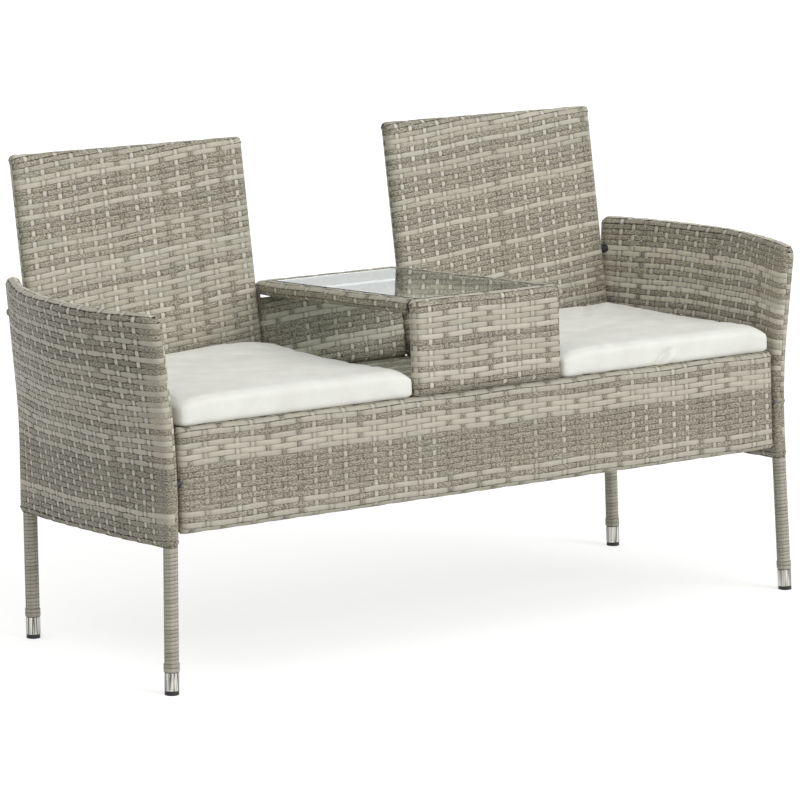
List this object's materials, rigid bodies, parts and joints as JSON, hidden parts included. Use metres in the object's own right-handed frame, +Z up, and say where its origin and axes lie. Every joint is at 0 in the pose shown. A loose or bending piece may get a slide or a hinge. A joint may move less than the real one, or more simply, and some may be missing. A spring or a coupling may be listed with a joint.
{
  "type": "companion seat bench",
  "caption": "Two-seat woven garden bench with bowed arms, leaning backs, loose seat cushions and a glass-topped table between the seats.",
  "frame": {"origin": "centre of the bounding box on the floor, under the middle of the bench", "axes": "+X along the bench towards the right seat seen from the front, -Y out of the front, +Z up"},
  "size_m": [1.4314, 0.5578, 0.8022],
  "materials": {
    "wicker": "mottled grey-beige flat woven resin strip",
    "glass": "clear tempered glass with polished edges",
    "cushion": "cream woven polyester cover over foam",
    "black_plastic": "black moulded plastic",
    "clear_pad": "clear soft pad",
    "ferrule": "bright brushed metal sleeve",
    "bolt": "zinc-plated steel",
    "frame_paint": "grey-brown powder coat"
  },
  "bodies": {
    "bench": {"bracket_bolts": "bolt", "centre_back_edge": "wicker", "centre_back_frame": "frame_paint", "centre_back_weave": "wicker", "deck_bolts": "bolt", "left_arm_weave": "wicker", "left_arm_winding": "wicker", "left_back_edge": "wicker", "left_back_frame": "frame_paint", "left_back_weave": "wicker", "left_front_ferrule": "ferrule", "left_front_foot_cap": "black_plastic", "left_front_leg_winding": "wicker", "left_rail_winding": "wicker", "left_rear_ferrule": "ferrule", "left_rear_foot_cap": "black_plastic", "left_rear_leg_winding": "wicker", "left_side_frame_tube": "frame_paint", "left_side_rail": "frame_paint", "right_arm_weave": "wicker", "right_arm_winding": "wicker", "right_back_edge": "wicker", "right_back_frame": "frame_paint", "right_back_weave": "wicker", "right_front_ferrule": "ferrule", "right_front_foot_cap": "black_plastic", "right_front_leg_winding": "wicker", "right_rail_winding": "wicker", "right_rear_ferrule": "ferrule", "right_rear_foot_cap": "black_plastic", "right_rear_leg_winding": "wicker", "right_side_frame_tube": "frame_paint", "right_side_rail": "frame_paint", "seat_apron_edge": "wicker", "seat_apron_frame": "frame_paint", "seat_apron_weave": "wicker", "seat_deck_edge": "wicker", "seat_deck_frame": "frame_paint", "seat_deck_weave": "wicker", "side_bolts": "bolt", "side_spacers": "black_plastic", "table_brackets": "frame_paint", "table_front_edge": "wicker", "table_front_frame": "frame_paint", "table_front_weave": "wicker", "table_ledge": "wicker", "table_pads": "clear_pad", "table_rim_tube": "frame_paint", "table_rim_winding": "wicker"},
    "left_cushion": {"left_cushion": "cushion"},
    "right_cushion": {"right_cushion": "cushion"},
    "glass": {"table_glass": "glass"}
  },
  "joints": [
    {"name": "left_cushion_lift", "type": "slide", "parent": "bench", "child": "left_cushion", "axis": [0, 0.0532, 0.9986], "range_m": [0, 0.42]},
    {"name": "right_cushion_lift", "type": "slide", "parent": "bench", "child": "right_cushion", "axis": [0, 0.0532, 0.9986], "range_m": [0, 0.42]},
    {"name": "glass_lift", "type": "slide", "parent": "bench", "child": "glass", "axis": [0, 0.0532, 0.9986], "range_m": [0, 0.27]}
  ]
}
